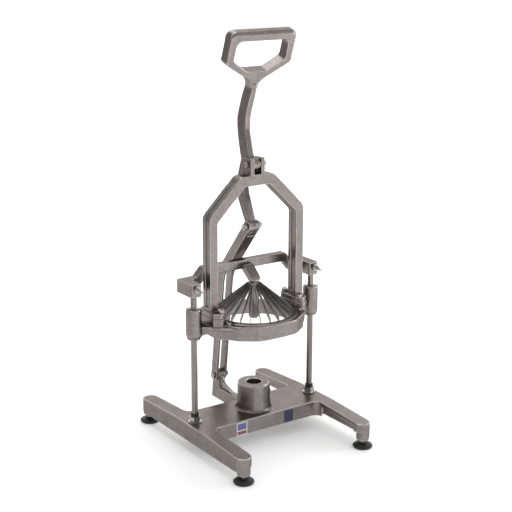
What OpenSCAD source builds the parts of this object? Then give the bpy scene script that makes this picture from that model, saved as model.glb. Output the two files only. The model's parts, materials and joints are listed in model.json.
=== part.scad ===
// Bench-top lever press that cuts an onion into petals. Millimetres, +Z up.
// The origin is on the table, under the centre of the base. The operator stands at -Y.

/* [Blade set] */
// Outer radius of the blade ring, which sets the width of the whole press
blade_ring_radius = 63; // [55:0.5:80]
// Wall of the blade ring
blade_ring_wall = 2.5; // [2:0.1:4]
// Height of the blade ring
blade_ring_height = 18.5; // [14:0.5:28]
// Number of radial blades
blade_count = 24; // [12:1:24]
// Thickness of one blade
blade_thickness = 0.7; // [0.5:0.1:1.2]
// Height of a blade's strip, measured straight up
blade_depth = 9; // [6:0.5:12]
// Rise of the blades for each millimetre towards the centre
blade_slope = 0.84; // [0.7:0.02:1]
// Turn of the first blade from the front
blade_phase = 5.5; // [0:0.5:15]
// Outer diameter of the core tube
core_tube_diameter = 16; // [13:0.5:20]
// Wall of the core tube
core_tube_wall = 1.2; // [0.8:0.1:2]
// Length of the core tube
core_tube_length = 57.3; // [40:0.5:80]
// Width that the collar stands out round the core tube
collar_step = 1.4; // [1:0.1:3]
// Height of the collar
collar_height = 3; // [2:0.5:5]

/* [Stroke] */
// Travel of the carriage
travel = 120; // [90:1:150]
// Height of the rubber bumper on each rod
bumper_height = 4.5; // [3:0.5:8]
// Outer diameter of the rubber bumper
bumper_diameter = 13; // [12:0.5:18]

/* [Base casting] */
// Length of each side bar
bar_length = 295; // [250:1:355]
// Width of each side bar
bar_width = 25; // [23:0.5:30]
// Height of the top of the plate above the table
plate_height = 46.5; // [43:0.5:56]
// Height of the top of the bars at their ends
bar_end_height = 41; // [38:0.5:43]
// Height of the bars' outer lower edge
bar_underside = 18; // [16:0.5:22]
// Height of the bars' inner lower edge
bar_inner_underside = 26; // [22:0.5:30]
// Distance from the centre to the front skirt's face
plate_front = 38; // [30:1:50]
// Distance from the centre to the rear skirt's face
plate_rear = 40; // [30:1:50]
// Height of the skirts' lower edge
skirt_underside = 22; // [20:0.5:28]
// Wall of the hollow casting
casting_wall = 5; // [4:0.5:7]
// Thickness of the plate and of the bars' tops
casting_top = 7; // [5:0.5:9]
// Depth of the recess in the bars' inner sides
bar_recess = 3.5; // [2:0.5:5]
// Radius of the corners between skirts and bars
skirt_fillet = 12; // [8:1:16]

/* [Pedestal] */
// Outer radius of the pedestal
pedestal_radius = 25.5; // [22:0.5:30]
// Height of the pedestal's seat above the table
pedestal_height = 90; // [75:1:95]
// Radius of the bore that takes the core
seat_bore_radius = 12; // [10.5:0.5:15]
// Depth of the bore before the hollow of the casting
seat_bore_depth = 16; // [12:1:24]

/* [Rear arm] */
// Thickness of the rear arm and its lug
arm_thickness = 12; // [10:0.5:16]
// Height of the arm's top
arm_top = 48; // [47:0.5:52]
// Height of the arm's underside
arm_underside = 27; // [24:0.5:32]
// Distance that the anchor pivot stands behind the carrier's rear
anchor_setback = 33; // [29:1:51]
// Height of the anchor pivot
anchor_z = 69; // [64:1:80]
// Radius of the lug round the anchor pivot
lug_radius = 9.5; // [9:0.5:14]

/* [Feet] */
// Radius of each rubber foot
foot_radius = 15.5; // [12:0.5:18]
// Height of each rubber foot
foot_height = 8; // [6:0.5:9]
// Radius of the boss that each foot stud screws into
foot_boss_radius = 10; // [9:0.5:12]
// Height of the foot bosses' lower end above the table
foot_boss_underside = 12.7; // [11:0.1:15]
// Diameter of the foot studs
foot_stud_diameter = 8; // [6:0.5:10]

/* [Guide rods] */
// Diameter of the guide rods
rod_diameter = 9.5; // [8:0.5:12.5]
// Outer radius of the washers on the base
washer_radius = 10.5; // [9:0.5:12]
// Thickness of the washers
washer_thickness = 2; // [1:0.5:3]
// Width across the flats of the rod nuts
rod_nut_flats = 15; // [14:0.5:19]
// Height of the rod nuts
rod_nut_height = 8; // [6:0.5:10]

/* [Carrier casting] */
// Outer radius of the carrier's rod bosses
boss_radius = 12; // [10.5:0.5:15]
// Height of the rod bosses
boss_height = 48.5; // [36:0.5:60]
// Height of the ring's outer wall
carrier_height = 22.5; // [18:0.5:26]
// Width of the casting's rim outside the blade ring, at the front and the rear
carrier_rim = 6; // [4:0.5:12]
// Half the width of the casting where it meets the rod bosses
carrier_side_half = 7; // [5:0.5:9]
// Radius of the curved front and rear of the ring
carrier_arc_radius = 220; // [180:5:300]
// Height of the rounded rim round the opening
lip_height = 2; // [1.5:0.5:3]
// Drop from the ring's top to the top of the webs that reach the rod bosses
web_drop = 3; // [2:0.5:5]
// Thickness of the ledge along the edge of the webs
web_ledge = 4; // [3:0.5:6]
// Height of the pads under the yoke above the ring's top
pad_height = 10; // [8:0.5:16]

/* [Yoke] */
// Width from the blade ring to the inside of the yoke
yoke_shoulder = 9.5; // [8:0.5:14]
// Width of the yoke's columns, seen from the front
column_width = 14; // [11:0.5:17]
// Depth of the yoke's columns, front to back
column_depth = 21; // [16:0.5:24]
// Gap between a column and the rod boss beside it
column_to_boss = 11.5; // [8:0.5:16]
// Height of the yoke's top bar
top_bar_height = 16; // [12:0.5:20]
// Half the width of the flat top of the window
window_top_half = 22.5; // [17:0.5:27]
// Height of the window's sloped corners
window_corner = 49; // [40:1:60]
// Thickness of the flanges at the feet of the yoke
flange_thickness = 8; // [6:0.5:10]
// Distance of the foot screws from the middle of the columns, front and rear
foot_screw_reach = 19.5; // [17:0.5:21]
// Depth of the grooves in the columns' sides
groove_depth = 1.8; // [1:0.1:3]
// Width of the grooves
groove_width = 9; // [6:0.5:12]
// Width of the clevis at the top
clevis_width = 25.5; // [24:0.5:32]
// Height of the clevis above the top bar
clevis_height = 26; // [26:0.5:34]
// Height of the pivot above the top bar
pivot_height = 15.5; // [14:0.5:20]

/* [Crossbar] */
// Depth of the crossbar's centre, front to back
crossbar_depth = 14; // [10:0.5:18]
// Height of the crossbar's centre
crossbar_height = 14; // [10:0.5:18]
// Distance from the rods' plane back to the crossbar's face
crossbar_setback = 22; // [20:0.5:24]
// Width of the rod blocks
block_width = 18; // [16:0.5:22]
// Height of the rod blocks
block_height = 20.5; // [18:0.5:26]
// Distance from the rods' plane to the blocks' front faces
block_front = 9; // [8:0.5:12]
// Rise from the blocks' underside to the centre's underside
crossbar_rise = 21; // [16:0.5:26]
// Radius of the wing screws' studs
wing_stud_radius = 3; // [2.5:0.1:4]
// Length of the wing screws' flat heads beyond the collar
wing_length = 13; // [10:0.5:15]

/* [Core ejector] */
// Width of the ejector's arm
ejector_width = 18; // [14:0.5:22]
// Height of the crossbar's underside above the ejector's foot
ejector_drop = 13.5; // [10:0.5:18]
// Gap between the blades' collar and the ejector's foot
ejector_gap = 2.5; // [1.5:0.5:5]
// Length of the plunger inside the core tube
plunger_length = 52; // [36:1:64]

/* [Handle] */
// Distance that the knee hangs below the pivot
knee_drop = 97.5; // [85:0.5:105]
// Distance that the knee lies behind the pivot
knee_setback = 6; // [3:0.5:9]
// Thickness of the handle's hub and lower arm
handle_hub_width = 12; // [10:0.5:16]
// Thickness of the handle's upper arm
handle_arm_width = 10; // [7:0.5:12]
// Radius of the handle's hub at the pivot
hub_radius = 10; // [9:0.5:12]
// Radius of the handle's hub at the knee
knee_radius = 9; // [8:0.5:12]
// Width of the grip
grip_width = 115.5; // [95:0.5:136]
// Height of the grip, measured in its own plane
grip_height = 77.5; // [70:0.5:93]
// Thickness of the grip's bar, measured in its own plane
grip_bar = 14.5; // [12:0.5:18]
// Depth of the grip's section
grip_depth = 18; // [15:0.5:22]
// Forward lean of the grip
grip_lean = 20; // [0:1:30]

/* [Link] */
// Thickness of each leg of the link
link_leg = 3.7; // [3:0.1:6]
// Half the depth of the link, seen from the side
link_half_depth = 8; // [7:0.5:10]
// Distance along the link from the knee to its bend
link_bend_along = 107.5; // [90:0.5:130]
// Distance that the bend stands back from the straight line
link_bend_side = 39.5; // [30:0.5:45]
// Length of the web between the legs
link_web_length = 62; // [40:1:80]

/* [Fasteners] */
// Diameter of the pivot pin and of the link's bolts
pin_diameter = 6.4; // [5:0.1:8]
// Radius of the pins' heads
pin_head_radius = 5; // [4.5:0.1:7]
// Height of the pins' heads
pin_head_height = 2.6; // [2:0.1:4]
// Width across the flats of the pins' nuts
pin_nut_flats = 10; // [9:0.5:13]
// Height of the pins' nuts
pin_nut_height = 5; // [4:0.5:7]
// Length of the pivot pin's and the knee bolt's ends beyond their nuts
pin_overhang = 2.5; // [1:0.5:4]
// Diameter of the yoke's foot screws
foot_screw_diameter = 6; // [5:0.5:8]
// Diameter of the screws that hold the blade ring
ring_screw_diameter = 4; // [3:0.5:5]
// Diameter of the ejector's screws
ejector_screw_diameter = 4; // [3:0.5:5]

/* [Labels] */
// Width and height of the left label
left_label = [20, 21.5];
// Width and height of the right label
right_label = [17, 20];
// Thickness of the labels
label_thickness = 0.3; // [0.1:0.1:0.5]

/* [Clearances] */
// Gap between parts that move past each other
moving_gap = 0.3; // [0.2:0.05:0.5]
// Radial clearance of the running fits
running_fit = 0.05; // [0.02:0.01:0.1]

/* [Hidden] */
$fn = 64;

// Widths that follow from the blade ring
column_inner = blade_ring_radius + yoke_shoulder;
column_outer = column_inner + column_width;
rod_x = column_outer + column_to_boss + boss_radius;
bar_inner = rod_x - 11;
bar_outer = bar_inner + bar_width;
bar_x = (bar_inner + bar_outer) / 2;
foot_x = bar_x + 0.5;
foot_y = bar_length / 2 - foot_boss_radius;
carrier_half_width = rod_x - 8;
carrier_half_depth = blade_ring_radius + carrier_rim;
anchor_y = carrier_half_depth + anchor_setback;

// Heights of the carriage when it is raised
rod_radius = rod_diameter / 2;
washer_top = plate_height + washer_thickness;
nut_top = washer_top + rod_nut_height;
bumper_top = nut_top + bumper_height;
boss_bottom = bumper_top + travel + moving_gap;
boss_top = boss_bottom + boss_height;
carrier_top = boss_bottom + carrier_height;
lip_top = carrier_top + lip_height;
pad_top = carrier_top + pad_height;

// Heights and radii of the blade set
blade_ring_inner = blade_ring_radius - blade_ring_wall;
blade_ring_bottom = boss_bottom + 6.5;
blade_ring_top = blade_ring_bottom + blade_ring_height;
blade_foot = blade_ring_top - 4;
core_radius = core_tube_diameter / 2;
collar_radius = core_radius + collar_step;
collar_top = blade_foot + blade_depth + blade_slope * (blade_ring_inner - collar_radius);
core_tube_bottom = collar_top - core_tube_length;

// Heights of the crossbar, which stands just above the blades
ejector_foot = collar_top + ejector_gap;
crossbar_bottom = ejector_foot + ejector_drop;
crossbar_top = crossbar_bottom + crossbar_height;
crossbar_back = crossbar_setback + crossbar_depth;
block_bottom = crossbar_bottom - crossbar_rise;
block_top = block_bottom + block_height;
block_half = block_width / 2;
rod_top = block_top - 2.5;
rod_bottom = bar_underside + 2;
lower_nut_foot = rod_bottom + 0.5;
wing_screw_z = block_bottom + 13;

// Heights of the yoke, whose window passes the crossbar at the end of the stroke
window_top = crossbar_top + travel + 3.4;
yoke_shoulder_z = window_top + top_bar_height;
pivot = [0, yoke_shoulder_z + pivot_height];
knee = [pivot[0] + knee_setback, pivot[1] - knee_drop];
anchor = [anchor_y, anchor_z];
clevis_slot = handle_hub_width / 2 + moving_gap;
pin_radius = pin_diameter / 2;

// Rounded outlines: each point is [x, y, radius of its corner]
function direction(v) = v / norm(v);
function corner(a, b, c, r, n) =
    let (
        back = direction(a - b),
        ahead = direction(c - b),
        half = acos(back * ahead) / 2,
        reach = min(r / tan(half), 0.49 * min(norm(a - b), norm(c - b))),
        radius = reach * tan(half),
        centre = b + direction(back + ahead) * radius / sin(half),
        start = b + back * reach - centre,
        stop = b + ahead * reach - centre,
        start_angle = atan2(start[1], start[0]),
        turn = (atan2(stop[1], stop[0]) - start_angle + 540) % 360 - 180
    )
    [for (i = [0:n]) centre + radius * [cos(start_angle + turn * i / n), sin(start_angle + turn * i / n)]];
function xy(p) = [p[0], p[1]];
function rounded(points, n = 4) =
    let (count = len(points))
    [for (i = [0:count - 1])
        each points[i][2] > 0
            ? corner(
                xy(points[(i + count - 1) % count]),
                xy(points[i]),
                xy(points[(i + 1) % count]),
                points[i][2],
                n
            )
            : [xy(points[i])]];
// Points on a smooth curve through the given points, n to each stretch
function smooth_curve(points, n = 5) =
    let (last = len(points) - 1)
    concat(
        [for (i = [0:last - 1], k = [0:n - 1])
            let (
                t = k / n,
                before = points[max(i - 1, 0)],
                from = points[i],
                to = points[i + 1],
                after = points[min(i + 2, last)]
            )
            from + 0.5 * (
                (to - before) * t
                + (2 * before - 5 * from + 4 * to - after) * t * t
                + (3 * from - 3 * to + after - before) * t * t * t
            )],
        [points[last]]
    );
function mirrored(points) =
    concat(points, [for (i = [len(points) - 1:-1:0]) [-points[i][0], points[i][1], points[i][2]]]);

// An outline in the Y-Z plane, given a width along X
module side_shape(width) {
    rotate([90, 0, 90]) linear_extrude(height = width, center = true) children();
}

// An outline in the X-Z plane, given a depth along Y
module front_shape(depth) {
    rotate([90, 0, 0]) linear_extrude(height = depth, center = true) children();
}

// A straight cylinder along X, through [y, z]
module rod_along_x(at, radius, x0, x1) {
    translate([x0, at[0], at[1]]) rotate([0, 90, 0]) cylinder(r = radius, h = x1 - x0);
}

// A straight cylinder along Z
module upright(x, y, radius, z0, z1) {
    translate([x, y, z0]) cylinder(r = radius, h = z1 - z0);
}

module both_sides() {
    children();
    mirror([1, 0, 0]) children();
}

module four_corners(x, y) {
    for (sx = [-1, 1], sy = [-1, 1]) translate([sx * x, sy * y, 0]) children();
}

// A hexagonal nut with its bore, standing on z = 0
module hex_nut(flats, height, bore) {
    difference() {
        cylinder(r = flats / 2 / cos(30), h = height, $fn = 6);
        translate([0, 0, -1]) cylinder(r = bore, h = height + 2);
    }
}

// Side bars

module bar_outline(drop) {
    polygon([
        [-bar_length / 2, bar_underside - 10],
        [bar_length / 2, bar_underside - 10],
        [bar_length / 2, bar_end_height - drop],
        [plate_rear, plate_height - drop],
        [-plate_front, plate_height - drop],
        [-bar_length / 2, bar_end_height - drop]
    ]);
}

module bar_plan(inset) {
    half = bar_width / 2 - inset;
    translate([bar_x - half, -foot_y]) square([2 * half, 2 * foot_y]);
    for (side = [-1, 1]) translate([bar_x, side * (bar_length / 2 - bar_width / 2)]) circle(r = half);
}

module side_bar() {
    inner_wall = bar_inner + bar_recess;
    recess_end = foot_y - foot_boss_radius + 2;
    difference() {
        intersection() {
            translate([0, 0, bar_underside]) linear_extrude(height = plate_height) bar_plan(0);
            translate([bar_x, 0, 0]) side_shape(bar_width + 2) bar_outline(0);
        }
        // Hollow under the bar's top
        intersection() {
            translate([inner_wall + casting_wall, -recess_end, 0])
                cube([bar_outer - casting_wall - inner_wall - casting_wall, 2 * recess_end, plate_height]);
            translate([bar_x, 0, 0]) side_shape(bar_width + 2) bar_outline(casting_top);
        }
        // Recess in the inner side, in front of and behind the plate
        for (span = [[-recess_end, -plate_front - skirt_fillet], [plate_rear + skirt_fillet, recess_end]])
            intersection() {
                translate([bar_inner - 1, span[0], 0])
                    cube([bar_recess + 1, span[1] - span[0], plate_height]);
                translate([bar_x, 0, 0]) side_shape(bar_width + 2) bar_outline(casting_top);
            }
        // The inner wall's lower edge lies above the outer one
        translate([bar_inner - 1, -bar_length / 2, 0])
            cube([bar_recess + casting_wall + 1.01, bar_length, bar_inner_underside]);
    }
    // Bosses for the feet and for the rod
    for (side = [-1, 1])
        upright(foot_x, side * foot_y, foot_boss_radius, foot_boss_underside, bar_end_height - 1);
    upright(rod_x, 0, washer_radius - 0.5, bar_inner_underside, plate_height - 1);
}

// Plate and skirts between the bars

module skirt(y0, y1, fillet_side) {
    face = fillet_side < 0 ? y0 : y1;
    height = plate_height - skirt_underside;
    translate([-bar_inner - 1, y0, skirt_underside]) cube([2 * bar_inner + 2, y1 - y0, height]);
    both_sides() translate([0, 0, skirt_underside]) linear_extrude(height = height) difference() {
        translate([bar_inner - skirt_fillet, min(face, face + fillet_side * skirt_fillet)])
            square([skirt_fillet + 1, skirt_fillet]);
        translate([bar_inner - skirt_fillet, face + fillet_side * skirt_fillet]) circle(r = skirt_fillet);
    }
}

module plate() {
    translate([-bar_inner - 1, -plate_front, plate_height - casting_top])
        cube([2 * bar_inner + 2, plate_front + plate_rear, casting_top]);
    skirt(-plate_front, -plate_front + casting_wall, -1);
    skirt(plate_rear - casting_wall, plate_rear, 1);
}

module pedestal_blank() {
    flare = 1.5;
    fillet = 3;
    rotate_extrude() polygon([
        [0, plate_height - casting_top],
        [pedestal_radius + flare + fillet, plate_height - casting_top],
        [pedestal_radius + flare + fillet, plate_height],
        [pedestal_radius + flare + 1, plate_height + 1],
        [pedestal_radius + flare, plate_height + fillet],
        [pedestal_radius + 0.3, plate_height + 18],
        [pedestal_radius, pedestal_height - 1],
        [pedestal_radius - 1, pedestal_height],
        [0, pedestal_height]
    ]);
}

module pedestal_hollow() {
    upright(0, 0, seat_bore_radius, plate_height - casting_top - 1, pedestal_height + 1);
    hollow_bottom = plate_height - casting_top - 1;
    upright(0, 0, pedestal_radius - casting_wall, hollow_bottom, pedestal_height - seat_bore_depth);
}

module rear_arm() {
    arm_start = pedestal_radius - casting_wall + 1;
    arm_end = anchor_y + lug_radius;
    lug_front = anchor_y - lug_radius;
    side_shape(arm_thickness) polygon(rounded([
        [arm_start, plate_height - casting_top, 0],
        [plate_rear - casting_wall, arm_underside, 0],
        [arm_end + 4, arm_underside + 1, 2],
        [arm_end, anchor_z - 10, 0],
        [arm_end, anchor_z, 0],
        [lug_front, anchor_z, 0],
        [lug_front, arm_top + 1, 3],
        [arm_start, arm_top, 0]
    ]));
    // Thinner gusset that runs down from the lug in a hollow curve
    side_shape(arm_thickness / 2) polygon(rounded([
        [arm_start, arm_top - 2, 0],
        [lug_front + 2, arm_top - 2, 0],
        [lug_front + 2, anchor_z + 4, 0],
        [lug_front - 4, arm_top + 11, 14],
        [lug_front - 36, arm_top + 1, 30],
        [arm_start, arm_top + 0.5, 0]
    ]));
    rod_along_x(anchor, lug_radius, -arm_thickness / 2, arm_thickness / 2);
}

module base_casting() {
    color([0.55, 0.53, 0.52]) difference() {
        union() {
            both_sides() side_bar();
            plate();
            pedestal_blank();
            rear_arm();
        }
        pedestal_hollow();
        both_sides() upright(rod_x, 0, rod_radius, 0, plate_height + 1);
        four_corners(foot_x, foot_y) upright(0, 0, foot_stud_diameter / 2, 0, bar_end_height - 10);
        rod_along_x(anchor, pin_radius + 2, -arm_thickness, arm_thickness);
    }
}

// Feet

module rubber_feet() {
    neck = foot_stud_diameter / 2;
    color([0.07, 0.07, 0.07]) four_corners(foot_x, foot_y) rotate_extrude() polygon([
        [0, 0.8],
        [foot_radius - 5, 0.8],
        [foot_radius - 4, 0],
        [foot_radius - 1.5, 0],
        [foot_radius, 2],
        [foot_radius, 3.6],
        [foot_radius - 1.5, 5],
        [foot_radius - 6, foot_height - 1],
        [neck + 3, foot_height],
        [neck, foot_height],
        [neck, 3],
        [0, 3]
    ]);
}

module foot_studs() {
    color([0.75, 0.74, 0.72]) four_corners(foot_x, foot_y) {
        upright(0, 0, foot_stud_diameter / 2, 3, bar_end_height - 12);
        difference() {
            upright(0, 0, foot_stud_diameter / 2 + 1.2, foot_height, foot_boss_underside);
            upright(0, 0, foot_stud_diameter / 2 - 1, 0, foot_boss_underside + 1);
        }
    }
}

// Guide rods and what is on them

module guide_rod(side) {
    chamfer = 1;
    color([0.72, 0.7, 0.69]) translate([side * rod_x, 0, 0]) rotate_extrude() polygon([
        [0, rod_bottom],
        [rod_radius - chamfer, rod_bottom],
        [rod_radius, rod_bottom + chamfer],
        [rod_radius, rod_top],
        [0, rod_top]
    ]);
}

module rod_washers() {
    color([0.75, 0.73, 0.72]) both_sides() difference() {
        upright(rod_x, 0, washer_radius, plate_height, washer_top);
        upright(rod_x, 0, rod_radius, 0, washer_top + 1);
    }
}

module rod_nuts() {
    color([0.7, 0.68, 0.67]) both_sides()
        translate([rod_x, 0, washer_top]) rotate([0, 0, 10])
            hex_nut(rod_nut_flats, rod_nut_height, rod_radius);
}

module rod_lower_nuts() {
    color([0.7, 0.68, 0.67]) both_sides()
        translate([rod_x, 0, lower_nut_foot])
            hex_nut(rod_nut_flats, bar_inner_underside - lower_nut_foot, rod_radius);
}

module bumper(side) {
    color([0.06, 0.06, 0.06]) difference() {
        upright(side * rod_x, 0, bumper_diameter / 2, nut_top, bumper_top);
        upright(side * rod_x, 0, rod_radius, 0, bumper_top + 1);
    }
}

// Crossbar, wing screws and core ejector

module rod_block() {
    translate([0, 0, block_bottom]) linear_extrude(height = block_height) polygon(rounded([
        [rod_x - block_half, -block_front, 2],
        [rod_x + block_half, -block_front, 4],
        [rod_x + block_half, crossbar_back - 1, 3],
        [rod_x - block_half - 11, crossbar_back - 1, 3],
        [rod_x - block_half - 6, crossbar_setback - 2, 0],
        [rod_x - block_half, crossbar_setback - 8, 0]
    ]));
}

module top_crossbar() {
    riser_foot = rod_x - block_half - 11;
    riser_head = column_inner + 4;
    color([0.58, 0.56, 0.55]) difference() {
        union() {
            both_sides() rod_block();
            translate([0, (crossbar_setback + crossbar_back) / 2, 0]) front_shape(crossbar_depth)
                polygon(rounded(mirrored([
                    [riser_foot + 12, block_bottom + 3, 0],
                    [riser_foot + 12, block_top, 0],
                    [riser_foot, block_top, 3],
                    [riser_head, crossbar_top, 4],
                    [0, crossbar_top, 0]
                ])));
        }
        // Underside of the centre and of the risers
        translate([0, (crossbar_setback + crossbar_back) / 2, 0]) front_shape(crossbar_depth + 8)
            polygon(rounded(mirrored([
                [0, crossbar_bottom, 0],
                [riser_head - 4, crossbar_bottom, 4],
                [riser_foot, block_bottom, 0],
                [riser_foot, block_bottom - 20, 0],
                [0, block_bottom - 20, 0]
            ])));
        both_sides() upright(rod_x, 0, rod_radius, 0, rod_top);
        both_sides() translate([rod_x, -block_front - 1, wing_screw_z]) rotate([-90, 0, 0])
            cylinder(r = wing_stud_radius + running_fit * 2, h = block_front + 1);
        for (x = ejector_screw_x) translate([x, 0, ejector_screw_z]) rotate([-90, 0, 0])
            cylinder(r = ejector_screw_diameter / 2, h = crossbar_back + 1);
    }
}

module wing_screw(side) {
    stud_length = block_front - rod_radius;
    collar_radius = 5.2;
    collar_length = 4.5;
    paddle_half = 6;
    paddle = 2.6;
    head = [side * rod_x, -block_front - moving_gap, wing_screw_z];
    color([0.8, 0.79, 0.78]) translate(head) rotate([90, 0, 0]) {
        translate([0, 0, -stud_length]) cylinder(r = wing_stud_radius, h = stud_length + 3);
        cylinder(r = collar_radius, h = collar_length);
        rotate([90, 0, -40]) linear_extrude(height = paddle, center = true) polygon(rounded([
            [-3.5, collar_length - 2, 0],
            [3.5, collar_length - 2, 0],
            [paddle_half, collar_length + 3, 3],
            [paddle_half, wing_length + 3, 5],
            [-paddle_half, wing_length + 3, 5],
            [-paddle_half, collar_length + 3, 3]
        ]));
    }
}

ejector_screw_x = [-5, 5];
ejector_screw_z = crossbar_bottom + 4.5;

module core_ejector() {
    foot = 6;
    top = crossbar_bottom + 8.5;
    plunger_radius = core_radius - core_tube_wall - moving_gap;
    color([0.66, 0.64, 0.62]) difference() {
        union() {
            side_shape(ejector_width) polygon(rounded([
                [crossbar_setback, crossbar_bottom + 1, 0],
                [crossbar_setback, top, 0],
                [crossbar_setback - 7, top, 3],
                [-foot + 1, ejector_foot + 5, 3],
                [-foot, ejector_foot, 1],
                [2, ejector_foot, 4]
            ]));
            upright(0, 0, plunger_radius, ejector_foot - plunger_length, ejector_foot + 1);
        }
        for (x = ejector_screw_x) translate([x, crossbar_setback - 8, ejector_screw_z]) rotate([-90, 0, 0])
            cylinder(r = ejector_screw_diameter / 2, h = 9);
    }
}

module ejector_screws() {
    color([0.7, 0.69, 0.68]) for (x = ejector_screw_x)
        translate([x, 0, ejector_screw_z]) rotate([-90, 0, 0]) {
        translate([0, 0, crossbar_setback - 8]) cylinder(d = ejector_screw_diameter, h = crossbar_depth + 8);
        translate([0, 0, crossbar_back]) cylinder(r = ejector_screw_diameter * 0.9, h = 3);
    }
}

module lug_bushing() {
    color([0.62, 0.5, 0.33]) difference() {
        rod_along_x(anchor, pin_radius + 2, -arm_thickness / 2, arm_thickness / 2);
        rod_along_x(anchor, pin_radius + running_fit, -arm_thickness, arm_thickness);
    }
}

// Labels on the front skirt

module label(size, x, z) {
    translate([x, -plate_front - label_thickness / 2, z]) front_shape(label_thickness) polygon(rounded([
        [-size[0] / 2, -size[1] / 2, 1],
        [size[0] / 2, -size[1] / 2, 1],
        [size[0] / 2, size[1] / 2, 1],
        [-size[0] / 2, size[1] / 2, 1]
    ]));
}

module front_label_left() {
    color([0.85, 0.85, 0.88]) label(left_label, -48, plate_height - 2.5 - left_label[1] / 2);
}

module front_label_right() {
    color([0.13, 0.17, 0.3]) label(right_label, 41.5, plate_height - 2.5 - right_label[1] / 2);
}

// Carrier casting

// Outline of the carrier from above, at a distance inset inside its real edge
module carrier_plan(inset) {
    offset_to_centre = carrier_arc_radius - carrier_half_depth;
    corner_reach = 0.8 * inset;
    quadrant = [
        [carrier_half_width - inset, carrier_side_half - inset, 2],
        [blade_ring_radius - 1 - corner_reach, blade_ring_radius - 16.5 - corner_reach, 12],
        [blade_ring_radius - 35 - corner_reach, carrier_half_depth + 2, 4]
    ];
    intersection() {
        translate([0, offset_to_centre]) circle(r = carrier_arc_radius - inset);
        translate([0, -offset_to_centre]) circle(r = carrier_arc_radius - inset);
        polygon(rounded(concat(
            quadrant,
            [for (i = [len(quadrant) - 1:-1:0]) [-quadrant[i][0], quadrant[i][1], quadrant[i][2]]],
            [for (point = quadrant) [-point[0], -point[1], point[2]]],
            [for (i = [len(quadrant) - 1:-1:0]) [quadrant[i][0], -quadrant[i][1], quadrant[i][2]]]
        )));
    }
}

module rod_boss() {
    taper = 2.5;
    translate([rod_x, 0, 0]) rotate_extrude() polygon([
        [0, boss_bottom],
        [boss_radius - taper, boss_bottom],
        [boss_radius, boss_bottom + 3 * taper],
        [boss_radius, boss_top - 1],
        [boss_radius - 1, boss_top],
        [0, boss_top]
    ]);
}

// Arch under each side of the carrier, between the ring and the rod boss
module side_arch() {
    arch = 9;
    translate([rod_x - boss_radius - arch + 2, 0, boss_bottom - 2]) rotate([90, 0, 0])
        cylinder(r = arch, h = 2 * carrier_half_depth, center = true);
}

// Outline of the pads and of the flanges on them, at a distance inset inside the pads' edge
module foot_plan(inset) {
    inner = column_inner - 7 + inset;
    middle = column_inner + 3.5;
    outer = column_outer + 1.5 - inset;
    inner_half = 22 - inset;
    middle_half = 29.5 - inset;
    outer_half = 20.5 - inset;
    polygon(rounded([
        [inner, -inner_half, 5],
        [middle, -middle_half, 4],
        [outer, -outer_half, 3],
        [outer, outer_half, 3],
        [middle, middle_half, 4],
        [inner, inner_half, 5]
    ]));
}

// Pads under the yoke's columns
module yoke_pads() {
    both_sides() translate([0, 0, carrier_top - 4]) linear_extrude(height = pad_height + 4) foot_plan(0);
}

module at_foot_screws() {
    for (sx = [-1, 1], sy = [-1, 1])
        translate([sx * (column_inner + 0.5), sy * foot_screw_reach, 0]) children();
}

module at_ring_screws() {
    angle = 25;
    radius = blade_ring_radius + 8.5;
    for (sx = [-1, 1], sy = [-1, 1]) translate([sx * radius * cos(angle), sy * radius * sin(angle), 0])
        rotate([0, 0, atan2(sy * sin(angle), sx * cos(angle))]) children();
}

module ring_tab(grow) {
    half = 4.5 + grow;
    translate([-11, -half, carrier_top]) cube([15 + grow, 2 * half, 1.2 + 20 * grow]);
}

// Rim that rises from the ring's top to the blade ring
module ring_rim() {
    foot = blade_ring_radius + carrier_rim - 0.5;
    rotate_extrude() polygon([
        [0, carrier_top - 1],
        [foot, carrier_top - 1],
        [foot, carrier_top],
        [foot - 1.5, carrier_top + 0.5 * lip_height],
        [foot - 3.5, lip_top - 0.3],
        [foot - 4.5, lip_top],
        [0, lip_top]
    ]);
}

// Ring wall, and the webs with their ledges that join it to the rod bosses
module carrier_body() {
    ledge_bottom = carrier_top - web_drop - web_ledge;
    ledge_reach = 2.5;
    difference() {
        union() {
            translate([0, 0, boss_bottom]) linear_extrude(height = carrier_height) intersection() {
                carrier_plan(0);
                circle(r = carrier_half_depth + 8);
            }
            translate([0, 0, ledge_bottom]) linear_extrude(height = web_ledge) carrier_plan(0);
            translate([0, 0, boss_bottom]) linear_extrude(height = ledge_bottom - boss_bottom)
                carrier_plan(ledge_reach);
            ring_rim();
            yoke_pads();
        }
        both_sides() side_arch();
    }
}

module blade_carrier() {
    color([0.56, 0.54, 0.53]) difference() {
        union() {
            both_sides() rod_boss();
            carrier_body();
        }
        upright(0, 0, blade_ring_radius + running_fit, 0, pad_top + 1);
        both_sides() upright(rod_x, 0, rod_radius + 3, 0, boss_top + 1);
        at_foot_screws() upright(0, 0, foot_screw_diameter / 2, carrier_top - 2, pad_top + 1);
        at_ring_screws() upright(0, 0, ring_screw_diameter / 2, carrier_top - 10, carrier_top + 20);
        at_ring_screws() ring_tab(0.3);
    }
}

module guide_bushings() {
    rim = 1;
    color([0.78, 0.76, 0.74]) both_sides() difference() {
        upright(rod_x, 0, rod_radius + 3, boss_bottom, boss_top + rim);
        upright(rod_x, 0, rod_radius + running_fit, 0, boss_top + rim + 1);
    }
}

// Yoke

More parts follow.
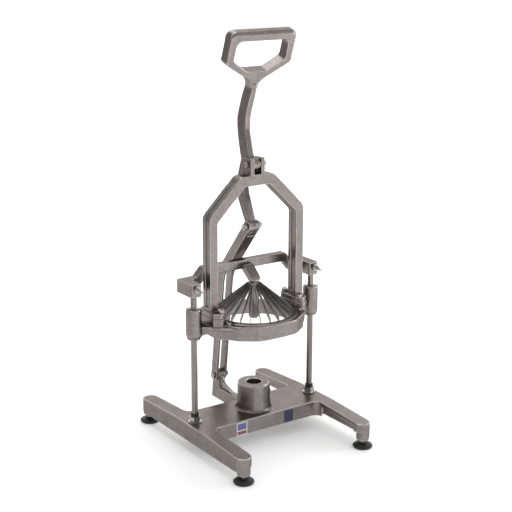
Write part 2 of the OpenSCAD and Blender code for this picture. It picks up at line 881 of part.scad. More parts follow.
// Outline of the yoke from outside, at a distance inset inside its real edge
module yoke_outline(inset) {
    foot = [column_outer, pad_top];
    bend = [column_outer, yoke_shoulder_z - window_corner - 7];
    shoulder = [window_top_half + 7.5, yoke_shoulder_z];
    bend_inside = beside(foot, bend, shoulder, inset);
    shoulder_inside = beside(bend, shoulder, [0, yoke_shoulder_z], inset);
    polygon(rounded(mirrored([
        [column_outer - inset, pad_top, 0],
        [bend_inside[0], bend_inside[1], 17 - inset],
        [shoulder_inside[0], shoulder_inside[1], 11 - inset],
        [clevis_width / 2 - 1, yoke_shoulder_z - inset, 0],
        [clevis_width / 2 - 1, yoke_shoulder_z + 3 - inset, 0]
    ])));
}

module yoke_arch() {
    front_shape(column_depth) difference() {
        yoke_outline(0);
        polygon(rounded(mirrored([
            [column_inner, pad_top - 1, 0],
            [column_inner, window_top - window_corner, 8],
            [window_top_half, window_top, 6]
        ])));
    }
}

module clevis_block() {
    back = 14.5;
    front = column_depth / 2;
    side_shape(clevis_width) polygon(rounded([
        [-front, yoke_shoulder_z, 0],
        [back, yoke_shoulder_z, 0],
        [back, yoke_shoulder_z + clevis_height - 1, 3],
        [-front, yoke_shoulder_z + clevis_height, 3]
    ]));
}

// Grooves up the columns' inner sides, and up their outer sides and on round the bends to the shoulders
module column_grooves() {
    low = pad_top + flange_thickness + 6;
    inner_high = window_top - window_corner - 2;
    outer_high = yoke_shoulder_z - 5;
    translate([column_inner - 1, -groove_width / 2, low])
        cube([groove_depth + 1, groove_width, inner_high - low]);
    front_shape(groove_width) difference() {
        translate([window_top_half, low]) square([column_outer, outer_high - low]);
        yoke_outline(groove_depth);
    }
}

module yoke() {
    color([0.6, 0.58, 0.57]) difference() {
        union() {
            yoke_arch();
            clevis_block();
            both_sides() translate([0, 0, pad_top]) linear_extrude(height = flange_thickness) foot_plan(0.8);
        }
        both_sides() column_grooves();
        translate([-clevis_slot, -50, yoke_shoulder_z + 1]) cube([2 * clevis_slot, 100, clevis_height + 5]);
        rod_along_x(pivot, pin_radius, -clevis_width, clevis_width);
        at_foot_screws() upright(0, 0, foot_screw_diameter / 2, pad_top - 1, pad_top + flange_thickness + 1);
    }
}

module yoke_screws() {
    head_radius = foot_screw_diameter * 0.85;
    head_top = pad_top + flange_thickness + foot_screw_diameter * 0.8;
    color([0.72, 0.7, 0.69]) at_foot_screws() difference() {
        union() {
            upright(0, 0, foot_screw_diameter / 2, carrier_top - 2, head_top - 1);
            upright(0, 0, head_radius, pad_top + flange_thickness, head_top);
        }
        translate([0, 0, head_top - 2.5]) cylinder(r = head_radius * 0.55, h = 4, $fn = 6);
    }
}

// Blade set

module blade_ring() {
    color([0.7, 0.69, 0.68]) difference() {
        union() {
            upright(0, 0, blade_ring_radius, blade_ring_bottom, blade_ring_top);
            at_ring_screws() ring_tab(0);
        }
        upright(0, 0, blade_ring_inner, 0, blade_ring_top + 1);
        at_ring_screws() upright(0, 0, ring_screw_diameter / 2, 0, blade_ring_top + 1);
    }
}

module blade() {
    outer = blade_ring_inner - 0.15;
    inner_rise = blade_slope * (outer - core_radius);
    rotate([90, 0, 0]) linear_extrude(height = blade_thickness, center = true) polygon([
        [outer, blade_foot],
        [outer, blade_foot + blade_depth],
        [collar_radius, collar_top],
        [collar_radius, collar_top - collar_height],
        [core_radius, collar_top - collar_height],
        [core_radius, blade_foot + inner_rise]
    ]);
}

module blades() {
    color([0.62, 0.6, 0.58]) for (i = [0:blade_count - 1])
        rotate([0, 0, -90 + blade_phase + 360 * i / blade_count]) blade();
}

module core_tube() {
    bevel = 0.8;
    color([0.68, 0.66, 0.64]) rotate_extrude() polygon([
        [core_radius - core_tube_wall, core_tube_bottom],
        [core_radius - core_tube_wall + 0.2, core_tube_bottom],
        [core_radius, core_tube_bottom + 2 * bevel],
        [core_radius, collar_top],
        [core_radius - core_tube_wall, collar_top]
    ]);
}

module blade_collar() {
    color([0.75, 0.73, 0.71]) difference() {
        upright(0, 0, collar_radius, collar_top - collar_height, collar_top);
        upright(0, 0, core_radius, 0, collar_top + 1);
    }
}

module blade_ring_screws() {
    head_radius = ring_screw_diameter * 0.9;
    seat = carrier_top + 1.2;
    color([0.8, 0.79, 0.78]) at_ring_screws() difference() {
        union() {
            upright(0, 0, ring_screw_diameter / 2, carrier_top - 9, seat + 1);
            upright(0, 0, head_radius, seat, seat + 2.4);
        }
        translate([-0.5, -head_radius - 1, seat + 1.4]) cube([1, 2 * head_radius + 2, 3]);
    }
}

// Pins, bolts and nuts that lie along X

module pin_head(at, x, height) {
    slot = 1.2;
    difference() {
        rod_along_x(at, pin_head_radius, x - height, x);
        translate([x - height - 1, at[0] - pin_head_radius - 1, at[1] - slot / 2])
            cube([slot + 1, 2 * pin_head_radius + 2, slot]);
    }
}

module pin_nut(at, x) {
    translate([x, at[0], at[1]]) rotate([0, 90, 0]) hex_nut(pin_nut_flats, pin_nut_height, pin_radius);
}

module pivot_pin() {
    half = clevis_width / 2;
    color([0.75, 0.74, 0.73]) {
        pin_head(pivot, -half, pin_head_height);
        rod_along_x(pivot, pin_radius, -half, half + pin_nut_height + pin_overhang);
    }
}

module pivot_nut() {
    color([0.7, 0.69, 0.68]) pin_nut(pivot, clevis_width / 2);
}

// Handle

// Profile of the arm, as distances back from and above the pivot
upper_front = [[7.5, 14], [15.6, 44], [16.5, 54], [14.5, 72], [5.2, 97], [-5, 120]];
upper_back = [[19, 122], [37, 74], [39.6, 59], [37, 36], [31, 10], [28.5, 3]];
lower_front = [[24, -34], [20, -50]];
lower_back = [[28.5, 3], [38, -24], [36, -60]];

module at_pivot() {
    translate([0, pivot[0], pivot[1]]) children();
}

module upper_arm() {
    at_pivot() side_shape(handle_arm_width) polygon(concat(
        [[0, 0]],
        smooth_curve(upper_front),
        smooth_curve(upper_back)
    ));
}

module lower_arm() {
    to_knee = knee - pivot;
    at_pivot() side_shape(handle_hub_width) polygon(concat(
        [[4, 6], [4, -6], [17.5, -15.5]],
        lower_front,
        [[to_knee[0] - 4, to_knee[1] + 8], [to_knee[0] + 4, to_knee[1] - 8]],
        [for (i = [len(lower_back) - 1:-1:0]) lower_back[i]]
    ));
    rod_along_x(pivot, hub_radius, -handle_hub_width / 2, handle_hub_width / 2);
    rod_along_x(knee, knee_radius, -handle_hub_width / 2, handle_hub_width / 2);
}

module grip_plan() {
    half = grip_width / 2;
    neck = 12;
    flare = 27.5;
    opening_floor = 15;
    opening_flare = 32.5;
    opening_top = grip_height - grip_bar;
    side = 11.5;
    difference() {
        polygon(rounded(mirrored([
            [handle_arm_width / 2 - 0.6, -14, 0],
            [neck, 1, 22],
            [half, flare, 9],
            [half - 1, grip_height, 10]
        ]), 6));
        polygon(rounded(mirrored([
            [18, opening_floor, 14],
            [half - side, opening_flare, 9],
            [half - side - 1, opening_top, 9]
        ]), 6));
    }
}

module grip() {
    base = [5, 128.5];
    translate([0, pivot[0] + base[0], pivot[1] + base[1]]) rotate([grip_lean, 0, 0])
        front_shape(grip_depth) grip_plan();
}

module handle() {
    color([0.62, 0.6, 0.59]) difference() {
        union() {
            upper_arm();
            lower_arm();
            grip();
        }
        rod_along_x(pivot, pin_radius + running_fit, -50, 50);
        rod_along_x(knee, pin_radius + running_fit, -50, 50);
    }
}

// Link

link_axis = direction(anchor - knee);
link_back = [-link_axis[1], link_axis[0]];
link_bend = knee + link_axis * link_bend_along + link_back * link_bend_side;
link_inner = handle_hub_width / 2 + moving_gap;
link_outer = link_inner + link_leg;

// Point beside a bend, at a distance d from both straight stretches
function beside(a, b, c, d) =
    let (
        first = direction(b - a),
        second = direction(c - b),
        n1 = [-first[1], first[0]],
        n2 = [-second[1], second[0]],
        n = direction(n1 + n2)
    )
    b + n * d / (n * n1);
function end_side(a, b, d) =
    let (v = direction(b - a))
    a + [-v[1], v[0]] * d;

// Outline of a strap from knee to anchor, between distances d0 and d1 from its centre line
module strap(d0, d1) {
    near = beside(knee, link_bend, anchor, d0);
    far = beside(knee, link_bend, anchor, d1);
    k0 = end_side(knee, link_bend, d0);
    k1 = end_side(knee, link_bend, d1);
    a0 = anchor - (end_side(anchor, link_bend, d0) - anchor);
    a1 = anchor - (end_side(anchor, link_bend, d1) - anchor);
    polygon(rounded([
        [k0[0], k0[1], 0],
        [near[0], near[1], 45 - d0],
        [a0[0], a0[1], 0],
        [a1[0], a1[1], 0],
        [far[0], far[1], 45 - d1],
        [k1[0], k1[1], 0]
    ], 6));
}

module link_side() {
    strap(-link_half_depth, link_half_depth);
    for (at = [knee, anchor]) translate(at) circle(r = link_half_depth + 1);
}

module link_web() {
    start = hub_radius + 5;
    along = direction(link_bend - knee);
    angle = atan2(along[1], along[0]);
    intersection() {
        strap(-link_half_depth, -link_half_depth + 4);
        translate(knee) rotate(angle) translate([start, -30]) square([link_web_length, 60]);
    }
}

module link_arm() {
    color([0.57, 0.55, 0.54]) difference() {
        union() {
            for (side = [-1, 1]) translate([side * (link_inner + link_outer) / 2, 0, 0])
                side_shape(link_leg) link_side();
            side_shape(2 * link_inner + 2) link_web();
        }
        rod_along_x(knee, pin_radius, -50, 50);
        rod_along_x(anchor, pin_radius, -50, 50);
    }
}

module knee_bolt() {
    color([0.76, 0.75, 0.74]) {
        pin_head(knee, -link_outer, 2 * pin_head_height);
        rod_along_x(knee, pin_radius, -link_outer, link_outer + pin_nut_height + pin_overhang);
    }
}

module knee_nut() {
    color([0.7, 0.69, 0.68]) pin_nut(knee, link_outer);
}

// The lower bolt is drawn in two stubs, clear of the lug between them
module link_pivot_bolt() {
    color([0.76, 0.75, 0.74]) {
        pin_head(anchor, -link_outer, pin_head_height);
        rod_along_x(anchor, pin_radius, -link_outer, -link_inner);
    }
}

module link_pivot_nut() {
    color([0.7, 0.69, 0.68]) {
        pin_nut(anchor, link_outer);
        rod_along_x(anchor, pin_radius, link_inner, link_outer + pin_nut_height);
    }
}

base_casting();
rubber_feet();
foot_studs();
guide_rod(-1);  // guide_rod_left
guide_rod(1);  // guide_rod_right
rod_washers();
rod_nuts();
rod_lower_nuts();
bumper(-1);  // bumper_left
bumper(1);  // bumper_right
top_crossbar();
wing_screw(-1);  // wing_screw_left
wing_screw(1);  // wing_screw_right
core_ejector();
ejector_screws();
lug_bushing();
front_label_left();
front_label_right();
blade_carrier();
guide_bushings();
yoke();
yoke_screws();
blade_ring();
blades();
core_tube();
blade_collar();
blade_ring_screws();
pivot_pin();
pivot_nut();
handle();
link_arm();
knee_bolt();
knee_nut();
link_pivot_bolt();
link_pivot_nut();
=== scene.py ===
"""Looks of the lever press: cast aluminium, ground steel and rubber, in a pale studio. Metres, +Z up."""

import json
import math

import bmesh
import bpy
import numpy as np
from mathutils import Matrix, Vector

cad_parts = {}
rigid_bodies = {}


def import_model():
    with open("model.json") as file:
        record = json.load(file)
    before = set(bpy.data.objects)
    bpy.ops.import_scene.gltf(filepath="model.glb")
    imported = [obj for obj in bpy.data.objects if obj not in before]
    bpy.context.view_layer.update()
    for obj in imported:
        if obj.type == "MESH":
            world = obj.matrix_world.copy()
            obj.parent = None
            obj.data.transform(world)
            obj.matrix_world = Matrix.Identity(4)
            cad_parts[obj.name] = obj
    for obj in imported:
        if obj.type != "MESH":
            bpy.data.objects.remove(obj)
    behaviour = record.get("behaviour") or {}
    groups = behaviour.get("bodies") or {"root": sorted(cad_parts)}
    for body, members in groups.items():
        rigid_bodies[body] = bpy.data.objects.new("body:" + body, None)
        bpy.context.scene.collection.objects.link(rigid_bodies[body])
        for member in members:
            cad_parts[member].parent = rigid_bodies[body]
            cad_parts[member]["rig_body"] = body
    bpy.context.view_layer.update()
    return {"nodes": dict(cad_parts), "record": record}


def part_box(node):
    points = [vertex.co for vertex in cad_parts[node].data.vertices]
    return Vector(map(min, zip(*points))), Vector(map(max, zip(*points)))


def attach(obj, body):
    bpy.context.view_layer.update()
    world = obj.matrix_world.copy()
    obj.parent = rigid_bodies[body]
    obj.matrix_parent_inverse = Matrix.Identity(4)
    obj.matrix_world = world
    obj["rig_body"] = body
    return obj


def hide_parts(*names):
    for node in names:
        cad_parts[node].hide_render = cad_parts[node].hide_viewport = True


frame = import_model()
NODES = frame["nodes"]
SLOT_OF = {part["node"]: part["material_slot"] for part in frame["record"]["subparts"]}
SCENE = bpy.context.scene

MM = 0.001
# Stands in for a length of zero that something is divided by
TINY = 1e-9


# Shader helpers

def new_material(name):
    material = bpy.data.materials.new(name)
    material.use_nodes = True
    tree = material.node_tree
    tree.nodes.clear()
    output = tree.nodes.new("ShaderNodeOutputMaterial")
    shader = tree.nodes.new("ShaderNodeBsdfPrincipled")
    tree.links.new(shader.outputs["BSDF"], output.inputs["Surface"])
    return material, tree, shader


def feed(tree, value, socket):
    """Links value to the socket if it is a node's output, or else sets it there, as a number or a colour."""
    if isinstance(value, bpy.types.NodeSocket):
        tree.links.new(value, socket)
    elif isinstance(value, (int, float)):
        socket.default_value = value
    else:
        socket.default_value = (*value, 1)


def set_surface(tree, shader, colour, roughness, normal=None, metallic=0.0):
    feed(tree, colour, shader.inputs["Base Color"])
    feed(tree, roughness, shader.inputs["Roughness"])
    feed(tree, metallic, shader.inputs["Metallic"])
    if normal is not None:
        feed(tree, normal, shader.inputs["Normal"])


def object_coordinates(tree, scale=(1, 1, 1)):
    place = tree.nodes.new("ShaderNodeTexCoord")
    mapping = tree.nodes.new("ShaderNodeMapping")
    mapping.inputs["Scale"].default_value = scale
    tree.links.new(place.outputs["Object"], mapping.inputs["Vector"])
    return mapping.outputs["Vector"]


def noise(tree, coordinates, scale, detail=3.0, roughness=0.6):
    node = tree.nodes.new("ShaderNodeTexNoise")
    node.inputs["Scale"].default_value = scale
    node.inputs["Detail"].default_value = detail
    node.inputs["Roughness"].default_value = roughness
    tree.links.new(coordinates, node.inputs["Vector"])
    return node.outputs["Fac"]


def ramp(tree, factor, start, end):
    """A ramp between two stops of (position, colour), a colour being a number or three numbers."""
    node = tree.nodes.new("ShaderNodeValToRGB")
    for element, (position, colour) in zip(node.color_ramp.elements, (start, end)):
        element.position = position
        values = (colour,) * 3 if isinstance(colour, (int, float)) else colour
        element.color = (*values, 1)
    tree.links.new(factor, node.inputs["Fac"])
    return node.outputs["Color"]


def mix(tree, factor, a, b, blend="MIX"):
    node = tree.nodes.new("ShaderNodeMix")
    node.data_type = "RGBA"
    node.blend_type = blend
    feed(tree, factor, node.inputs[0])
    feed(tree, a, node.inputs[6])
    feed(tree, b, node.inputs[7])
    return node.outputs[2]


def times(tree, a, b):
    """Two colours multiplied."""
    return mix(tree, 1.0, a, b, "MULTIPLY")


def arithmetic(tree, operation, *values):
    node = tree.nodes.new("ShaderNodeMath")
    node.operation = operation
    for socket, value in zip(node.inputs, values):
        feed(tree, value, socket)
    return node.outputs[0]


def smooth_step(tree, value, low, high):
    node = tree.nodes.new("ShaderNodeMapRange")
    node.interpolation_type = "SMOOTHSTEP"
    node.inputs["From Min"].default_value = low
    node.inputs["From Max"].default_value = high
    tree.links.new(value, node.inputs["Value"])
    return node.outputs["Result"]


def bump(tree, height, distance, strength, normal=None):
    node = tree.nodes.new("ShaderNodeBump")
    node.inputs["Distance"].default_value = distance
    node.inputs["Strength"].default_value = strength
    tree.links.new(height, node.inputs["Height"])
    if normal is not None:
        tree.links.new(normal, node.inputs["Normal"])
    return node.outputs["Normal"]


def any_ray(tree, *kinds):
    """1 for the rays of these kinds and 0 for all others."""
    rays = tree.nodes.new("ShaderNodeLightPath")
    seen = rays.outputs[kinds[0]]
    for kind in kinds[1:]:
        seen = arithmetic(tree, "MAXIMUM", seen, rays.outputs[kind])
    return seen


# Materials

CAST_TONE = (0.258, 0.232, 0.219)
CAST_CLOUD = (0.222, 0.199, 0.188)
# Painted shade for concave corners
CAST_HOLLOW_SHADE = (0.178, 0.159, 0.149)
# Convex edges: partly edge wear and partly a painted highlight
CAST_WEAR_AND_HIGHLIGHT = (0.56, 0.53, 0.515)
CAST_GRAZING = (0.45, 0.43, 0.42)


def cast_aluminium():
    """Tumbled cast aluminium: fine grain and cloudy tone, brighter at its edges, partly as wear and partly
    as a painted highlight, and darker in corners as painted shade.
    """
    material, tree, shader = new_material("cast_aluminium")
    place = object_coordinates(tree)
    clouds = noise(tree, place, scale=38, detail=4)
    patches = noise(tree, place, scale=120, detail=4)
    mottle = noise(tree, place, scale=260)
    grain = noise(tree, place, scale=900)
    swells = noise(tree, place, scale=110, roughness=0.5)
    pointiness = tree.nodes.new("ShaderNodeNewGeometry").outputs["Pointiness"]
    # Convex edges are painted brighter: partly edge wear and partly a painted highlight.
    wear_and_highlight = ramp(tree, pointiness, (0.504, 0.0), (0.545, 1.0))
    # Concave corners are painted darker: painted shade.
    painted_hollow_shade = ramp(tree, pointiness, (0.45, 1.0), (0.495, 0.0))
    colour = ramp(tree, clouds, (0.3, CAST_CLOUD), (0.6, CAST_TONE))
    colour = mix(tree, wear_and_highlight, colour, CAST_WEAR_AND_HIGHLIGHT)
    colour = mix(tree, painted_hollow_shade, colour, CAST_HOLLOW_SHADE)
    colour = times(tree, colour, ramp(tree, grain, (0.3, 0.82), (0.7, 1.12)))
    colour = times(tree, colour, ramp(tree, mottle, (0.35, 0.89), (0.65, 1.12)))
    roughness = ramp(tree, patches, (0.3, 0.27), (0.7, 0.38))
    normal = bump(tree, swells, distance=0.5 * MM, strength=0.35)
    normal = bump(tree, grain, distance=0.06 * MM, strength=0.6, normal=normal)
    set_surface(tree, shader, colour, roughness, normal, metallic=1.0)
    feed(tree, CAST_GRAZING, shader.inputs["Specular Tint"])
    return material


# How dark the marks are; on the rod they are drawn into vertical streaks, a painted reflection
STEEL_MARK_AND_STREAK_TONE = 0.55
STEEL_MARK_ROUGHNESS = 0.1


def ground_steel(name, tone, roughness, marks_and_streaks_per_metre):
    """Ground or turned steel with fine marks, whose number to a metre along X, Y and Z comes last; marks
    drawn out long along one axis are painted reflection streaks.
    """
    material, tree, shader = new_material(name)
    marks = noise(tree, object_coordinates(tree, marks_and_streaks_per_metre), scale=1.0)
    # The marks painted into the colour; on the rod, drawn out along Z, they are painted reflection streaks.
    dark = tuple(STEEL_MARK_AND_STREAK_TONE * channel for channel in tone)
    colour = ramp(tree, marks, (0.3, dark), (0.7, tone))
    rough = ramp(tree, marks, (0.3, roughness), (0.7, roughness + STEEL_MARK_ROUGHNESS))
    normal = bump(tree, marks, distance=0.05 * MM, strength=0.3)
    set_surface(tree, shader, colour, rough, normal, metallic=1.0)
    return material


def black_rubber():
    """Black rubber with a little dust and a fine grain."""
    material, tree, shader = new_material("black_rubber")
    place = object_coordinates(tree)
    dust = noise(tree, place, scale=260, detail=4)
    grain = noise(tree, place, scale=1400, detail=2, roughness=0.5)
    colour = ramp(tree, dust, (0.35, 0.006), (0.75, 0.014))
    roughness = ramp(tree, dust, (0.3, 0.42), (0.7, 0.6))
    set_surface(tree, shader, colour, roughness, bump(tree, grain, distance=0.05 * MM, strength=0.4))
    return material


BRONZE_DARK = (0.32, 0.2, 0.09)
BRONZE_LIGHT = (0.42, 0.28, 0.13)


def bronze():
    material, tree, shader = new_material("bushing_bronze")
    marks = noise(tree, object_coordinates(tree), scale=500)
    colour = ramp(tree, marks, (0.3, BRONZE_DARK), (0.7, BRONZE_LIGHT))
    set_surface(tree, shader, colour, roughness=0.35, metallic=1.0)
    return material


MATERIALS = {
    "cast_aluminium": cast_aluminium(),
    # The rod's marks are drawn out along Z into vertical light and dark streaks: a painted reflection.
    "stainless_rod": ground_steel("stainless_rod", (0.27, 0.25, 0.24), 0.16, (700, 700, 12)),
    "bright_hardware": ground_steel("bright_hardware", (0.5, 0.47, 0.455), 0.26, (500, 500, 500)),
    "blade_steel": ground_steel("blade_steel", (0.34, 0.315, 0.305), 0.3, (90, 90, 500)),
    "bushing_steel": ground_steel("bushing_steel", (0.52, 0.49, 0.475), 0.24, (300, 300, 700)),
    "bushing_bronze": bronze(),
    "black_rubber": black_rubber(),
}


def paint(obj, material):
    obj.data.materials.clear()
    obj.data.materials.append(material)


# Castings: a node's solid, copied, remeshed and softened, so that edges are round and corners filleted

WELD_DISTANCE = 1e-6
SOFTEN_SHARE = 0.5
# The most triangles that one casting keeps
TRIANGLE_LIMIT = 190000


def mesh_arrays(mesh):
    points = np.zeros(len(mesh.vertices) * 3)
    mesh.vertices.foreach_get("co", points)
    edges = np.zeros(len(mesh.edges) * 2, np.int32)
    mesh.edges.foreach_get("vertices", edges)
    return points.reshape(-1, 3), edges.reshape(-1, 2)


def soften(mesh, passes, weight=None):
    """Moves each vertex part of the way to the mean of its neighbours, passes times."""
    points, edges = mesh_arrays(mesh)
    count = len(points)
    first, second = edges[:, 0], edges[:, 1]
    degree = np.bincount(first, minlength=count) + np.bincount(second, minlength=count)
    degree = np.maximum(degree, 1)
    share = SOFTEN_SHARE if weight is None else SOFTEN_SHARE * weight(points)[:, None]
    for _ in range(passes):
        mean = np.stack([
            np.bincount(first, points[second, k], count) + np.bincount(second, points[first, k], count)
            for k in range(3)
        ], axis=1) / degree[:, None]
        points = points + share * (mean - points)
    mesh.vertices.foreach_set("co", points.ravel())
    mesh.update()


def apply_modifiers(obj):
    graph = bpy.context.evaluated_depsgraph_get()
    mesh = bpy.data.meshes.new_from_object(obj.evaluated_get(graph))
    obj.modifiers.clear()
    old = obj.data
    obj.data = mesh
    bpy.data.meshes.remove(old)


def remesh(obj, voxel):
    modifier = obj.modifiers.new("Remesh", "REMESH")
    modifier.mode = "VOXEL"
    modifier.voxel_size = voxel
    modifier.use_smooth_shade = True
    apply_modifiers(obj)


def thin_out(obj):
    """Brings a remeshed obj, whose faces are of two triangles each, down to TRIANGLE_LIMIT."""
    count = 2 * len(obj.data.polygons)
    if count > TRIANGLE_LIMIT:
        modifier = obj.modifiers.new("Thin", "DECIMATE")
        modifier.ratio = TRIANGLE_LIMIT / count
        apply_modifiers(obj)


def object_from_bmesh(name, shape):
    mesh = bpy.data.meshes.new(name)
    shape.to_mesh(mesh)
    shape.free()
    obj = bpy.data.objects.new(name, mesh)
    SCENE.collection.objects.link(obj)
    return obj


def copy_of_node(node, name):
    shape = bmesh.new()
    shape.from_mesh(NODES[node].data)
    bmesh.ops.remove_doubles(shape, verts=shape.verts, dist=WELD_DISTANCE)
    return object_from_bmesh(name, shape)


def body_of(node):
    return NODES[node]["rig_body"]


def casting(node, voxel, passes=2, weight=None, shape=None, blend=None):
    """
    A casting in place of its node. shape, where given, is a function that moves the remeshed points, and
    blend is the passes and the weight of one more softening of a part of it.
    """
    obj = copy_of_node(node, node + "_cast")
    remesh(obj, voxel)
    if shape is not None:
        points, _ = mesh_arrays(obj.data)
        obj.data.vertices.foreach_set("co", shape(points).ravel())
    soften(obj.data, passes, weight)
    if blend is not None:
        soften(obj.data, *blend)
    thin_out(obj)
    for polygon in obj.data.polygons:
        polygon.use_smooth = True
    paint(obj, MATERIALS[SLOT_OF[node]])
    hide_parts(node)
    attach(obj, body_of(node))


# The grip, in its own plane: x across, u up along the lean and d back through its depth
GRIP_FOOT = np.array([0.0, 5.0, 567.624]) * MM
GRIP_LEAN = math.radians(20)
GRIP_ACROSS = np.array([1.0, 0.0, 0.0])
GRIP_UP = np.array([0.0, -math.sin(GRIP_LEAN), math.cos(GRIP_LEAN)])
GRIP_BACK = np.array([0.0, math.cos(GRIP_LEAN), math.sin(GRIP_LEAN)])
GRIP_HALF_WIDTH = 57.75 * MM
GRIP_TOP = 77.5 * MM
GRIP_HALF_DEPTH = 9.0 * MM
GRIP_CORNER = 10 * MM
# The fillets of its edges, and the height from which the outer edges have them
GRIP_FILLET = 2.5 * MM
GRIP_TOP_FILLET = 6.5 * MM
GRIP_ROUND_FROM = 33 * MM
# The bar's lower face, how far below and above it its fillets reach, and half the bar's length
BAR_FOOT = 63 * MM
BAR_BELOW = 0.5 * MM
BAR_ABOVE = 3 * MM
BAR_HALF_LENGTH = GRIP_HALF_WIDTH - 14 * MM


def onto_fillet(a, b, radius):
    """The distances a and b from two faces that meet in an edge, moved so that a fillet rounds the edge."""
    reach = np.stack([radius - a, radius - b])
    length = np.maximum(np.linalg.norm(reach, axis=0), TINY)
    inside = (reach[0] > 0) & (reach[1] > 0)
    share = np.where(inside, radius / length, 1.0)
    return radius - reach[0] * share, radius - reach[1] * share


def rounded_grip(points):
    """Rounds the grip's outer edges, most of all along the bar's top, and the bar's lower edges."""
    local = points - GRIP_FOOT
    x, u, d = local[:, 0], local @ GRIP_UP, local @ GRIP_BACK
    side = GRIP_HALF_WIDTH - np.abs(x)
    top = GRIP_TOP - u
    face = GRIP_HALF_DEPTH - np.abs(d)
    # From the centre of the outline's corner, or straight out where the outline is straight
    outward = np.stack([np.maximum(GRIP_CORNER - side, 0), np.maximum(GRIP_CORNER - top, 0)])
    bend = np.linalg.norm(outward, axis=0)
    length = np.maximum(bend, TINY)
    radius = GRIP_FILLET + (GRIP_TOP_FILLET - GRIP_FILLET) * outward[1] / length
    edge, outer_face = onto_fillet(GRIP_CORNER - bend, face, radius)
    outward_moved = outward * (GRIP_CORNER - edge) / length
    on_edge = (u > GRIP_ROUND_FROM) & (bend > 0)
    side = np.where(on_edge & (outward[0] > 0), GRIP_CORNER - outward_moved[0], side)
    top = np.where(on_edge & (outward[1] > 0), GRIP_CORNER - outward_moved[1], top)
    face = np.where(on_edge, outer_face, face)
    # The bar's lower edges
    foot = u - BAR_FOOT
    in_bar = (foot > -BAR_BELOW) & (foot < BAR_ABOVE) & (np.abs(x) < BAR_HALF_LENGTH)
    lower_foot, lower_face = onto_fillet(foot, face, GRIP_FILLET)
    face = np.where(in_bar, lower_face, face)
    u = np.where(in_bar, BAR_FOOT + lower_foot, GRIP_TOP - top)
    x = np.sign(x) * (GRIP_HALF_WIDTH - side)
    d = np.sign(d) * (GRIP_HALF_DEPTH - face)
    return GRIP_FOOT + x[:, None] * GRIP_ACROSS + u[:, None] * GRIP_UP + d[:, None] * GRIP_BACK


ARM_TOP = GRIP_FOOT[2] - 5 * MM
GRIP_WEIGHT = 0.12
NECK_HEIGHT = 556 * MM
NECK_REACH = 9 * MM
NECK_PASSES = 90


def arm_weight(points):
    """The arm's edges are rounder than the grip's."""
    return np.where(points[:, 2] < ARM_TOP, 1.0, GRIP_WEIGHT)


def neck_weight(points):
    """The arm runs smoothly into the grip's neck."""
    return np.exp(-((points[:, 2] - NECK_HEIGHT) / NECK_REACH) ** 2)


casting("base_casting", voxel=0.95 * MM)
casting("blade_carrier", voxel=0.75 * MM, passes=6)
casting("yoke", voxel=0.75 * MM)
casting("handle", voxel=0.7 * MM, passes=14, weight=arm_weight, shape=rounded_grip,
        blend=(NECK_PASSES, neck_weight))
casting("link_arm", voxel=0.6 * MM)
casting("top_crossbar", voxel=0.6 * MM)
casting("core_ejector", voxel=0.5 * MM)


# Labels

LABEL_WHITE = (0.72, 0.72, 0.75)
LABEL_RED = (0.30, 0.08, 0.10)
LABEL_BLUE = (0.13, 0.16, 0.34)
LABEL_NAVY = (0.025, 0.035, 0.09)
# Where the left label's bands begin, and half the width inside its border, as shares of its size
LABEL_BANDS = [(0.09, LABEL_RED), (0.34, LABEL_WHITE), (0.44, LABEL_BLUE), (0.92, LABEL_WHITE)]
LABEL_INSIDE = 0.41
LABEL_ROUGHNESS = 0.35


def left_label():
    """Printed film: a red and a blue band with a white border."""
    material, tree, shader = new_material("label_left")
    low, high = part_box("front_label_left")
    split = tree.nodes.new("ShaderNodeSeparateXYZ")
    tree.links.new(object_coordinates(tree), split.inputs["Vector"])
    colour = LABEL_WHITE
    for share, tone in LABEL_BANDS:
        above = arithmetic(tree, "GREATER_THAN", split.outputs["Z"], low.z + share * (high.z - low.z))
        colour = mix(tree, above, colour, tone)
    aside = arithmetic(tree, "SUBTRACT", split.outputs["X"], (low.x + high.x) / 2)
    aside = arithmetic(tree, "ABSOLUTE", aside)
    outside = arithmetic(tree, "GREATER_THAN", aside, LABEL_INSIDE * (high.x - low.x))
    set_surface(tree, shader, mix(tree, outside, colour, LABEL_WHITE), LABEL_ROUGHNESS)
    return material


def right_label():
    """Printed film in one dark blue."""
    material, tree, shader = new_material("label_right")
    set_surface(tree, shader, LABEL_NAVY, LABEL_ROUGHNESS)
    return material


MATERIALS["label_left"] = left_label()
MATERIALS["label_right"] = right_label()

for node, obj in NODES.items():
    paint(obj, MATERIALS[SLOT_OF[node]])


# Studio

WHITE = (1, 1, 1)
ROOM_LEFT = (0.45, 0.45, 0.45)
ROOM_RIGHT = (0.68, 0.68, 0.68)
ROOM_SPREAD = 0.8
BACKDROP_TONE = (1.7, 1.7, 1.7)
BACKDROP_WAY = (0.57, 0.80, 0.18)
BACKDROP_EDGE = (0.55, 0.9)


def background(tree, colour):
    node = tree.nodes.new("ShaderNodeBackground")
    feed(tree, colour, node.inputs["Color"])
    return node.outputs["Background"]


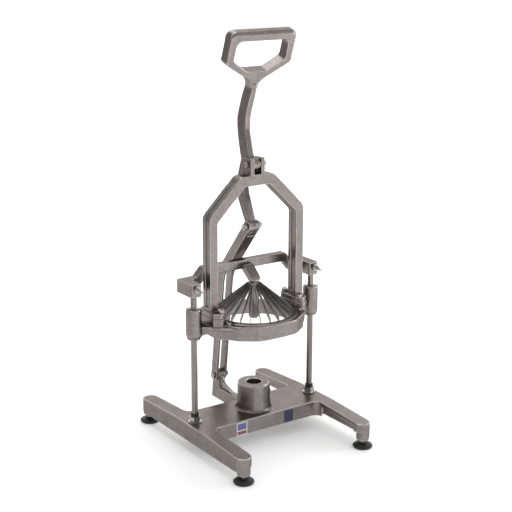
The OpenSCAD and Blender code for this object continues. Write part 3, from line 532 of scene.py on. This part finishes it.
def make_world():
    """
    A studio that is lighter on the right, with a bright backdrop behind the object, opposite the camera.
    To the eye it is white all round.
    """
    world = bpy.data.worlds.new("studio")
    SCENE.world = world
    world.use_nodes = True
    tree = world.node_tree
    tree.nodes.clear()
    way = tree.nodes.new("ShaderNodeTexCoord").outputs["Generated"]
    split = tree.nodes.new("ShaderNodeSeparateXYZ")
    tree.links.new(way, split.inputs["Vector"])
    rightward = smooth_step(tree, split.outputs["X"], -ROOM_SPREAD, ROOM_SPREAD)
    towards = tree.nodes.new("ShaderNodeVectorMath")
    towards.operation = "DOT_PRODUCT"
    towards.inputs[1].default_value = BACKDROP_WAY
    tree.links.new(way, towards.inputs[0])
    behind = smooth_step(tree, towards.outputs["Value"], *BACKDROP_EDGE)
    room = mix(tree, rightward, ROOM_LEFT, ROOM_RIGHT)
    light = mix(tree, behind, room, BACKDROP_TONE)
    join = tree.nodes.new("ShaderNodeMixShader")
    tree.links.new(any_ray(tree, "Is Camera Ray", "Is Transmission Ray"), join.inputs[0])
    tree.links.new(background(tree, light), join.inputs[1])
    tree.links.new(background(tree, WHITE), join.inputs[2])
    output = tree.nodes.new("ShaderNodeOutputWorld")
    tree.links.new(join.outputs[0], output.inputs["Surface"])


FLOOR_HALF = 6.0
FLOOR_LEFT = 0.8
FLOOR_CELLS = 8
FLOOR_TONE = (0.9, 0.9, 0.9)
FLOOR_ROUGHNESS = 0.95
NEAR_GLOW = 0.24
FAR_GLOW = 0.5
FAR_RANGE = (0.25, 1.1)


def make_floor():
    """
    White paper that keeps the object's shadow. A glow, which grows by FAR_GLOW over FAR_RANGE, makes it
    white to the eye and in reflections.
    """
    shape = bmesh.new()
    bmesh.ops.create_grid(shape, x_segments=FLOOR_CELLS, y_segments=FLOOR_CELLS, size=FLOOR_HALF)
    bmesh.ops.translate(shape, verts=shape.verts, vec=(FLOOR_HALF - FLOOR_LEFT, 0, 0))
    floor = object_from_bmesh("floor", shape)
    material, tree, shader = new_material("floor_paper")
    set_surface(tree, shader, FLOOR_TONE, FLOOR_ROUGHNESS)
    distance = tree.nodes.new("ShaderNodeVectorMath")
    distance.operation = "LENGTH"
    place = tree.nodes.new("ShaderNodeTexCoord")
    tree.links.new(place.outputs["Object"], distance.inputs[0])
    far = smooth_step(tree, distance.outputs["Value"], *FAR_RANGE)
    glow = arithmetic(tree, "ADD", arithmetic(tree, "MULTIPLY", far, FAR_GLOW), NEAR_GLOW)
    seen = any_ray(tree, "Is Camera Ray", "Is Transmission Ray", "Is Glossy Ray")
    feed(tree, WHITE, shader.inputs["Emission Color"])
    feed(tree, arithmetic(tree, "MULTIPLY", seen, glow), shader.inputs["Emission Strength"])
    paint(floor, material)


def area_lamp(name, place, target, size, power):
    data = bpy.data.lights.new(name, "AREA")
    data.shape = "RECTANGLE"
    data.size, data.size_y = size
    data.energy = power
    lamp = bpy.data.objects.new(name, data)
    lamp.location = place
    aim = Vector(target) - Vector(place)
    lamp.rotation_euler = aim.to_track_quat("-Z", "Y").to_euler()
    SCENE.collection.objects.link(lamp)


# The camera, solved from the feet, the rods and the crossbar in the photograph
CAMERA_PLACE = (-0.9985, -1.4517, 0.7794)
CAMERA_TARGET = (0.00382, 0.0, 0.29448)
CAMERA_LENS = 83.46
CAMERA_SENSOR = 36
CAMERA_ROLL = math.radians(0.139)


def make_camera():
    data = bpy.data.cameras.new("camera")
    data.sensor_width = CAMERA_SENSOR
    data.lens = CAMERA_LENS
    camera = bpy.data.objects.new("camera", data)
    aim = Vector(CAMERA_TARGET) - Vector(CAMERA_PLACE)
    turn = aim.to_track_quat("-Z", "Y").to_matrix() @ Matrix.Rotation(CAMERA_ROLL, 3, "Z")
    camera.rotation_euler = turn.to_euler()
    camera.location = CAMERA_PLACE
    SCENE.collection.objects.link(camera)
    SCENE.camera = camera


make_world()
make_floor()
make_camera()
area_lamp("overhead", place=(0.0, 0.3, 1.9), target=(0, 0, 0.2), size=(1.3, 1.1), power=11)
area_lamp("left_softbox", place=(-1.7, -0.6, 1.1), target=(0, 0, 0.3), size=(0.8, 1.6), power=2)
area_lamp("right_softbox", place=(1.7, -0.9, 0.75), target=(0, 0, 0.3), size=(0.5, 1.0), power=9)
SCENE.view_settings.view_transform = "Standard"
